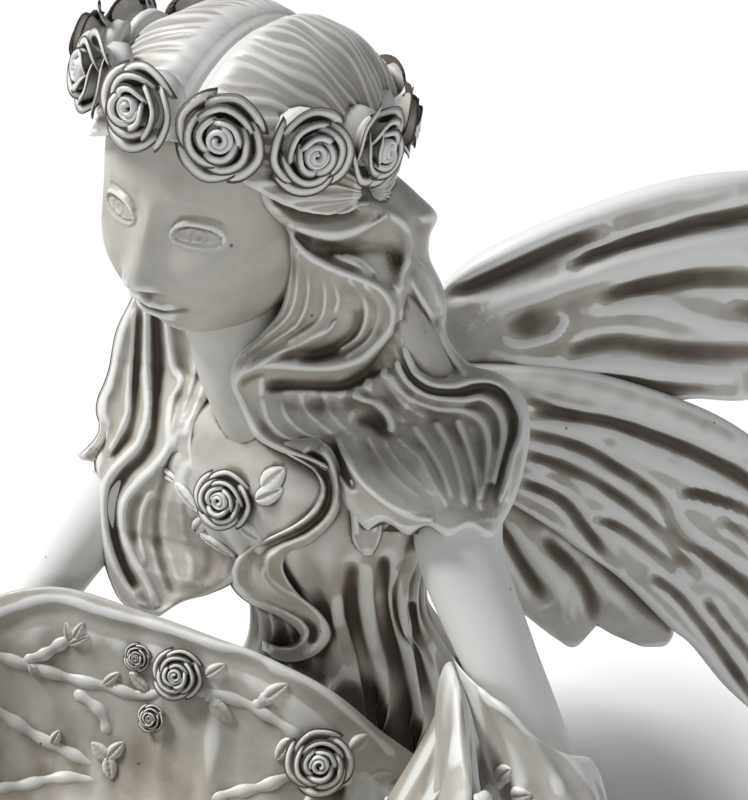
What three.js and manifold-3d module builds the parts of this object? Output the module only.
// A cast garden statue: a kneeling winged girl in a long gown, with a crown of roses,
// who holds out a fold of cloth as a feeding bowl. Millimetres, +Z up, she faces -Y,
// and the origin is the middle of the plinth's underside.
import * as THREE from 'three';
import { mergeVertices } from 'three/addons/utils/BufferGeometryUtils.js';
import Module from 'manifold-3d';

// Driving dimensions
const FIGURE_HEIGHT = 362;
const PLINTH_HEIGHT = 14;
const PLINTH_WIDTH = 214;
const PLINTH_DEPTH = 250;
const PLINTH_SHIFT = -6;
const PLINTH_CHAMFER = 4;
const BOWL_WALL = 7;
const BOWL_DEPTH = 52;
const BOWL_WIDTH = 224;
const BOWL_REACH = 150;
const WING_THICKNESS = 8;
const WING_SPAN = 182;
const WING_SWEEP = 38;
const CROWN_RADIUS = 50;
const CROWN_ROSES = 12;
const ROSE_RADIUS = 12.5;
const ARM_RADIUS = 14.5;
const HEAD_WIDTH = 84;
const FOLD_COUNT = 16;

// The figure is drawn at this height and scaled from the plinth's top to FIGURE_HEIGHT
const DRAWN_HEIGHT = 362;
const DRAWN_GROUND = 14;
const share = FIGURE_HEIGHT / DRAWN_HEIGHT;

const wasm = await Module();
wasm.setup();

const spot = (x, y, z) => new THREE.Vector3(
  x * share,
  y * share,
  PLINTH_HEIGHT + (z - DRAWN_GROUND) * share,
);
const spots = (rows) => rows.map(([x, y, z]) => spot(x, y, z));
const blend = (a, b, t) => a + (b - a) * t;

// Turns a geometry with shared corners into a solid
function solidOf(geometry) {
  const bare = geometry.clone();
  bare.deleteAttribute('normal');
  bare.deleteAttribute('uv');
  const merged = mergeVertices(bare, 1e-4);
  const mesh = new wasm.Mesh({
    numProp: 3,
    vertProperties: new Float32Array(merged.attributes.position.array),
    triVerts: new Uint32Array(merged.index.array),
  });
  return new wasm.Manifold(mesh);
}

// A closed body through rings of points, with a fan on each end
function loft(rings) {
  const count = rings[0].length;
  const middle = (ring) => ring.reduce((sum, p) => sum.clone().add(p)).multiplyScalar(1 / count);
  const points = [...rings.flat(), middle(rings[0]), middle(rings[rings.length - 1])];
  const faces = [];
  for (let i = 0; i < rings.length - 1; i += 1) {
    for (let j = 0; j < count; j += 1) {
      const a = i * count + j;
      const b = i * count + (j + 1) % count;
      faces.push(a, b, a + count, b, b + count, a + count);
    }
  }
  const low = rings.length * count;
  const top = (rings.length - 1) * count;
  for (let j = 0; j < count; j += 1) {
    faces.push(low, (j + 1) % count, j);
    faces.push(low + 1, top + j, top + (j + 1) % count);
  }
  const geometry = new THREE.BufferGeometry();
  geometry.setAttribute('position', new THREE.Float32BufferAttribute(points.flatMap((p) => p.toArray()), 3));
  geometry.setIndex(faces);
  return geometry;
}

// A ring of points in the plane of two directions, counter-clockwise about across x up
function ringAt(centre, across, up, halfWidth, halfHeight, sides) {
  return Array.from({ length: sides }, (_, i) => {
    const angle = (i / sides) * Math.PI * 2;
    return centre.clone()
      .addScaledVector(across, Math.cos(angle) * halfWidth)
      .addScaledVector(up, Math.sin(angle) * halfHeight);
  });
}

// A tapered limb or lock along a curve: half width lies along the surface it rests on
function sweep(route, widthAt, heightAt, sides, steps, outward = null) {
  const curve = new THREE.CatmullRomCurve3(route, false, 'centripetal');
  const rings = [];
  for (let i = 0; i <= steps; i += 1) {
    const t = i / steps;
    const centre = curve.getPointAt(t);
    const along = curve.getTangentAt(t);
    const away = outward ? centre.clone().sub(outward) : new THREE.Vector3(0, -0.3, 1);
    const across = new THREE.Vector3().crossVectors(away, along).normalize();
    const up = new THREE.Vector3().crossVectors(along, across);
    rings.push(ringAt(centre, across, up, widthAt(t), heightAt(t), sides));
  }
  return loft(rings);
}

function ellipsoid(centre, halves, turn, across = 14, rows = 8) {
  const geometry = new THREE.SphereGeometry(1, across, rows);
  geometry.rotateX(Math.PI / 2);
  geometry.scale(...halves);
  geometry.applyMatrix4(new THREE.Matrix4().makeRotationFromEuler(turn));
  geometry.translate(centre.x, centre.y, centre.z);
  return geometry;
}

// A rose as two turned five-lobed tiers, the bud narrower and taller than the open petals
function rose(centre, facing, radius) {
  const tiers = [[10, 1.0, 0.46, 0.0], [5, 0.6, 0.76, 0.63]];
  const axis = facing.clone().normalize();
  const basis = new THREE.Quaternion().setFromUnitVectors(new THREE.Vector3(0, 0, 1), axis);
  return tiers.map(([corners, reach, height, turn]) => {
    const lobed = (size, level) => Array.from({ length: corners }, (_, i) => {
      const angle = (i / corners) * Math.PI * 2 + turn;
      const spread = size * radius * (i % 2 ? 0.86 : 1.0);
      return new THREE.Vector3(Math.cos(angle) * spread, Math.sin(angle) * spread, level * radius)
        .applyQuaternion(basis).add(centre);
    });
    return solidOf(loft([lobed(reach * 0.9, -0.45), lobed(reach * 0.96, height)]));
  });
}

// The low oval plinth with a chamfered top edge
function plinth() {
  const sides = 32;
  const level = (z, inset) => Array.from({ length: sides }, (_, i) => {
    const angle = (i / sides) * Math.PI * 2;
    return new THREE.Vector3(
      Math.cos(angle) * (PLINTH_WIDTH / 2 - inset),
      PLINTH_SHIFT + Math.sin(angle) * (PLINTH_DEPTH / 2 - inset),
      z,
    );
  });
  return solidOf(loft([
    level(0, 0),
    level(PLINTH_HEIGHT - PLINTH_CHAMFER, 0),
    level(PLINTH_HEIGHT, PLINTH_CHAMFER),
  ]));
}

// The gown over the folded legs, up to the neckline: level, half width, half depth, forward shift
function gown() {
  const levels = [
    [9, 100, 116, -6], [30, 97, 111, -6], [62, 81, 93, -8], [94, 61, 68, 0],
    [126, 48, 46, 13], [150, 38, 31, 10], [168, 34, 26, 3], [190, 40, 29, -8],
    [212, 52, 32, -18], [230, 58, 29, -22], [242, 46, 23, -24], [250, 27, 18, -27],
  ];
  const sides = FOLD_COUNT * 2;
  const foldTop = 178;
  return solidOf(loft(levels.map(([z, halfWidth, halfDepth, shift]) => {
    const depth = Math.max(0, 1 - z / foldTop) * 0.085;
    return Array.from({ length: sides }, (_, i) => {
      const angle = (i / sides) * Math.PI * 2;
      const fold = 1 + (i % 2 ? -depth : depth);
      return spot(Math.cos(angle) * halfWidth * fold, shift + Math.sin(angle) * halfDepth * fold, z);
    });
  })));
}

// The fold of cloth held out as a bowl. Its rim rises to each arm, dips beside her left
// hip, and its underside gathers down to her knees.
function bowl() {
  const sides = 32;
  const rimRoute = new THREE.CatmullRomCurve3([
    [0.64, 0.00, 182], [0.86, -0.22, 166], [1.0, -0.55, 152], [0.84, -0.9, 143], [0.42, -1.08, 138],
    [0, -1.13, 136], [-0.42, -1.08, 138], [-0.84, -0.92, 143], [-1.0, -0.6, 154], [-0.94, -0.32, 168],
    [-0.72, -0.18, 176], [-0.42, -0.1, 171], [-0.1, -0.03, 163], [0.16, 0.05, 150], [0.32, 0.13, 130],
    [0.45, 0.22, 114], [0.56, 0.09, 150],
  ].map(([x, y, z]) => new THREE.Vector3(x * BOWL_WIDTH / 2, -36 + y * BOWL_REACH, z)), true);
  const rim = rimRoute.getSpacedPoints(sides).slice(0, sides);
  const heart = new THREE.Vector2(0, -36 - BOWL_REACH * 0.5);
  const foot = 40;
  const kneeShift = 30;
  // Each level draws the rim's plan in to a share and drops a share of the way to a floor
  const level = (drawIn, drop, floor, inset, ripple, back = 0) => rim.map((p, i) => {
    const plan = new THREE.Vector2(p.x, p.y).sub(heart);
    const reach = Math.max(plan.length() * drawIn * (1 + (i % 2 ? -ripple : ripple)) - inset, 1);
    plan.setLength(reach).add(heart);
    return spot(plan.x, plan.y + back * kneeShift, blend(p.z, floor, drop));
  });
  const floor = 150 - BOWL_DEPTH;
  const rings = [
    level(0.56, 1, foot, 0, 0.05, 1),
    level(0.55, 0.74, foot, 0, 0.06, 0.9),
    level(0.68, 0.46, foot, 0, 0.045, 0.5),
    level(0.88, 0.2, foot, 0, 0.02, 0.15),
    level(1, 0, foot, 0, 0),
    level(1, 0, foot, BOWL_WALL, 0),
    level(0.90, 0.42, floor, BOWL_WALL, 0),
    level(0.74, 0.80, floor, BOWL_WALL, 0),
    level(0.40, 1, floor, BOWL_WALL, 0),
  ];
  return solidOf(loft(rings.map((ring) => ring.reverse())));
}

// One arm from the shoulder to the hand under the bowl's rim
function arm(side) {
  const left = [[60, -18, 228], [67, -27, 214], [83, -33, 190], [98, -34, 163], [112, -42, 142], [119, -74, 134],
    [117, -108, 136]];
  const right = [[-58, -22, 226], [-66, -32, 211], [-82, -46, 184], [-97, -58, 158], [-106, -74, 142],
    [-110, -100, 134], [-109, -124, 135]];
  const radius = ARM_RADIUS * share;
  const thick = (t) => radius * (1 - 0.34 * t - 0.14 * Math.sin(t * Math.PI));
  const hand = spots(side > 0 ? left : right).pop();
  const flat = new THREE.Euler(0, 0, 0.12 * side);
  // The cloth lies over her left forearm, from the crook of the elbow to the hand
  const covered = (t) => radius * (0.98 - 0.12 * t);
  const cover = side > 0 ? [solidOf(sweep(spots(left.slice(3)), covered, covered, 8, 5))] : [];
  return [
    ...cover,
    solidOf(sweep(spots(side > 0 ? left : right), thick, thick, 8, 9)),
    solidOf(ellipsoid(hand, [radius * 0.62, radius * 1.2, radius * 0.5], flat, 10, 6)),
  ];
}

// Head, neck and the puffed hair under and above the crown
const headCentre = spot(-6, -38, 326);
const headTurn = new THREE.Euler(0.16, 0.22, 0.04);
const crownAxis = new THREE.Vector3(0.31, -0.04, 0.95).normalize();
const crownStart = 0.017;

function head() {
  const half = (HEAD_WIDTH / 2) * share;
  const onHead = (x, y, z) => new THREE.Vector3(x, y, z).multiplyScalar(half).applyEuler(headTurn).add(headCentre);
  const neck = spots([[0, -27, 240], [-2, -34, 262], [-4, -36, 290]]);
  const neckRadius = 16 * share;
  return [
    solidOf(ellipsoid(onHead(0, 0.1, 0.2), [half * 1.08, half * 1.14, half * 1.04], headTurn, 16, 10)),
    solidOf(ellipsoid(onHead(0, -0.34, -0.26), [half * 0.76, half * 0.8, half * 0.94], headTurn, 12, 8)),
    solidOf(ellipsoid(onHead(0, -0.66, -0.98), [half * 0.3, half * 0.26, half * 0.22], headTurn, 6, 4)),
    solidOf(ellipsoid(onHead(0, -1.1, -0.4), [half * 0.1, half * 0.16, half * 0.2], headTurn, 6, 4)),
    solidOf(ellipsoid(onHead(0.36, 0.12, 0.46), [half * 0.8, half * 1.02, half * 0.82], headTurn, 12, 8)),
    solidOf(ellipsoid(onHead(-0.36, 0.1, 0.47), [half * 0.78, half * 1.0, half * 0.82], headTurn, 12, 8)),
    solidOf(sweep(neck, (t) => neckRadius * (1.15 - 0.3 * Math.sin(t * 3)), () => neckRadius, 10, 4)),
  ];
}

// The ring of roses round the hair
function crown() {
  const centre = spot(0, -40, 353);
  const forward = new THREE.Vector3(0, -1, 0).projectOnPlane(crownAxis).normalize();
  const pieces = [];
  for (let i = 0; i < CROWN_ROSES; i += 1) {
    const angle = (i / CROWN_ROSES) * Math.PI * 2 + crownStart;
    const out = forward.clone().applyAxisAngle(crownAxis, angle);
    const place = centre.clone().addScaledVector(out, (CROWN_RADIUS - ROSE_RADIUS * 0.25) * share);
    const size = ROSE_RADIUS * share * (i % 3 === 2 ? 0.86 : 1);
    pieces.push(...rose(place, out.clone().addScaledVector(crownAxis, 0.12), size));
  }
  return pieces;
}

// Long locks: each a short route, its half width and half thickness
function locks() {
  const strands = [
    { route: [[20, -76, 318], [40, -62, 300], [47, -58, 280], [40, -72, 262], [34, -76, 246], [44, -72, 232],
      [40, -70, 214], [30, -70, 204], [38, -70, 192]], width: 9, height: 5.5 },
    { route: [[40, -58, 322], [52, -38, 306], [56, -30, 286], [60, -30, 268], [74, -18, 258], [76, -12, 240],
      [68, -10, 222]], width: 10, height: 6 },
    { route: [[40, -44, 316], [46, -44, 290], [50, -46, 262], [52, -46, 236], [54, -44, 212]], width: 13, height: 8 },
    { route: [[48, -18, 320], [54, -8, 292], [60, -4, 262], [64, -2, 236], [62, 2, 214]], width: 14, height: 8 },
    { route: [[-44, -52, 316], [-54, -46, 288], [-64, -44, 262], [-66, -48, 240], [-70, -56, 226]], width: 12,
      height: 8 },
    { route: [[-40, -62, 306], [-48, -60, 276], [-50, -64, 246], [-46, -68, 222], [-38, -72, 202], [-28, -74, 186]],
      width: 10, height: 6.5 },
    { route: [[-46, -30, 318], [-54, -22, 288], [-58, -16, 258], [-60, -14, 228], [-56, -10, 206]], width: 14,
      height: 8 },
    { route: [[30, 6, 330], [38, 18, 296], [40, 22, 262], [38, 26, 228], [34, 34, 196]], width: 15, height: 9 },
    { route: [[0, 14, 334], [2, 28, 298], [0, 32, 262], [-2, 34, 226], [0, 40, 190]], width: 17, height: 10 },
    { route: [[-34, 4, 330], [-40, 16, 296], [-42, 20, 262], [-40, 24, 228], [-36, 32, 196]], width: 15, height: 9 },
  ];
  return strands.map(({ route, width, height }) => {
    const taper = (t) => Math.sin(Math.PI * Math.min(0.5 + t * 0.46, 0.97));
    const steps = Math.round(route.length * 1.15);
    const waist = spot(0, -16, route[Math.floor(route.length / 2)][2]);
    return solidOf(sweep(spots(route), (t) => width * share * taper(t), (t) => height * share * taper(t), 5, steps, waist));
  });
}

// The hair's inner mass, which closes the neck's sides and back
function hairMass() {
  const levels = [[326, 44, 40, -22], [300, 50, 32, -14], [272, 56, 26, -8], [244, 62, 25, -4], [222, 56, 22, 4],
    [200, 38, 16, 14]];
  return solidOf(loft(levels.reverse().map(([z, halfWidth, halfDepth, shift]) => {
    const centre = spot(0, shift, z);
    const ring = ringAt(centre, new THREE.Vector3(1, 0, 0), new THREE.Vector3(0, 1, 0), halfWidth * share,
      halfDepth * share, 14);
    return ring;
  })));
}

// A wing in its own plane: x runs outwards along the sweep, y is the height
function wing(side) {
  const stretch = WING_SPAN / 182;
  const at = (x, y) => new THREE.Vector2(x * stretch * share, y * share);
  const upper = new THREE.Shape();
  upper.moveTo(...at(-12, 262));
  upper.splineThru([at(8, 288), at(43, 305), at(86, 317), at(128, 316), at(162, 300), at(182, 274)]);
  upper.splineThru([at(168, 258), at(140, 243), at(114, 233), at(91, 233), at(72, 231)]);
  upper.lineTo(...at(30, 232));
  upper.lineTo(...at(-12, 236));
  const lower = new THREE.Shape();
  lower.moveTo(...at(-12, 256));
  lower.splineThru([at(40, 247), at(84, 234), at(115, 218), at(146, 190), at(160, 156), at(156, 120), at(146, 82)]);
  lower.splineThru([at(128, 98), at(114, 112), at(99, 131), at(80, 148), at(60, 160), at(36, 186)]);
  lower.lineTo(...at(-8, 214));
  const inner = new THREE.Shape();
  inner.moveTo(...at(-6, 236));
  inner.splineThru([at(30, 205), at(62, 176), at(84, 152), at(94, 136)]);
  inner.splineThru([at(84, 126), at(70, 132), at(60, 137), at(54, 127), at(46, 131), at(16, 156)]);
  inner.lineTo(...at(-6, 176));
  const plate = (shape, shift) => {
    const geometry = new THREE.ExtrudeGeometry(shape, { depth: WING_THICKNESS, bevelEnabled: false, curveSegments: 2 });
    geometry.translate(0, 0, shift - WING_THICKNESS / 2);
    return geometry;
  };
  const rib = (route, width) => sweep(
    route.map(([x, y, z]) => new THREE.Vector3(...at(x, y).toArray(), z)),
    (t) => width * (1 - 0.5 * t), (t) => (WING_THICKNESS / 2 + 4) * (1 - 0.25 * t), 4, 5, new THREE.Vector3(0, 0, -900),
  );
  const ribs = [
    rib([[-8, 268, 0], [8, 284, 0], [43, 301, 0], [86, 313, 0], [128, 312, 0], [160, 297, 0]], 6),
    rib([[-6, 262, 0], [40, 278, 0], [90, 287, 0], [140, 286, 0], [172, 272, 0]], 4),
    rib([[-6, 256, 0], [40, 260, 0], [90, 262, 0], [140, 258, 0], [160, 256, 0]], 4),
    rib([[-6, 250, 3], [40, 240, 3], [80, 228, 3], [120, 206, 3], [146, 180, 3]], 4),
    rib([[-6, 246, 3], [40, 226, 3], [80, 200, 3], [120, 166, 3], [150, 136, 3]], 4),
    rib([[-6, 240, 3], [34, 212, 3], [70, 180, 3], [106, 142, 3], [142, 96, 3]], 4),
  ];
  const turn = side > 0 ? WING_SWEEP : 180 - WING_SWEEP;
  return [plate(upper, 0), plate(lower, 3), plate(inner, -4), ...ribs].map((geometry) => {
    // The shape's height becomes Z, and the whole swings back from the shoulder blade
    geometry.rotateX(Math.PI / 2);
    geometry.rotateZ(THREE.MathUtils.degToRad(turn));
    const root = spot(20 * side, 45, DRAWN_GROUND);
    geometry.translate(root.x, root.y, PLINTH_HEIGHT - DRAWN_GROUND * share);
    return solidOf(geometry);
  });
}

// The pad of cloth and hair on the back that carries both wings
function backPad() {
  return solidOf(ellipsoid(spot(0, 22, 240), [34 * share, 32 * share, 44 * share], new THREE.Euler(), 10, 6));
}

// Roses at the neckline and on the bowl's inner wall
function looseRoses() {
  const flowers = [
    [[0, -55, 228], [0.1, -1, 0.25], 10.5],
    [[15, -52, 232], [0.5, -1, 0.3], 5],
    [[-34, -53, 152], [0.25, -1, 0.8], 10],
    [[-47, -56, 160], [0.3, -1, 0.6], 6],
    [[-40, -61, 137], [0.25, -1, 0.9], 7],
    [[8, -60, 126], [-0.1, -0.8, 1], 11],
  ];
  return flowers.flatMap(([place, facing, radius]) => rose(spot(...place), new THREE.Vector3(...facing), radius * share));
}

function statue() {
  const pieces = [
    plinth(), gown(), hairMass(), backPad(), ...head(), ...locks(), ...crown(),
    ...arm(1), ...arm(-1), ...wing(1), ...wing(-1), bowl(), ...looseRoses(),
  ];
  const joined = pieces.reduce((sum, piece) => sum.add(piece));
  // Pockets shut in between the locks are filled: the outer skin alone is the casting
  return joined.decompose().reduce((a, b) => (b.volume() > a.volume() ? b : a));
}

const skin = statue().getMesh();
const geometry = new THREE.BufferGeometry();
geometry.setAttribute('position', new THREE.BufferAttribute(skin.vertProperties, 3));
geometry.setIndex(new THREE.BufferAttribute(skin.triVerts, 1));
geometry.computeVertexNormals();

const ivoryResin = new THREE.MeshStandardMaterial({ color: 0xd9d3c6, roughness: 0.6, metalness: 0 });
const figure = new THREE.Mesh(geometry, ivoryResin);
figure.name = 'fairy_statue';

const model = new THREE.Group();
model.add(figure);

export default model;
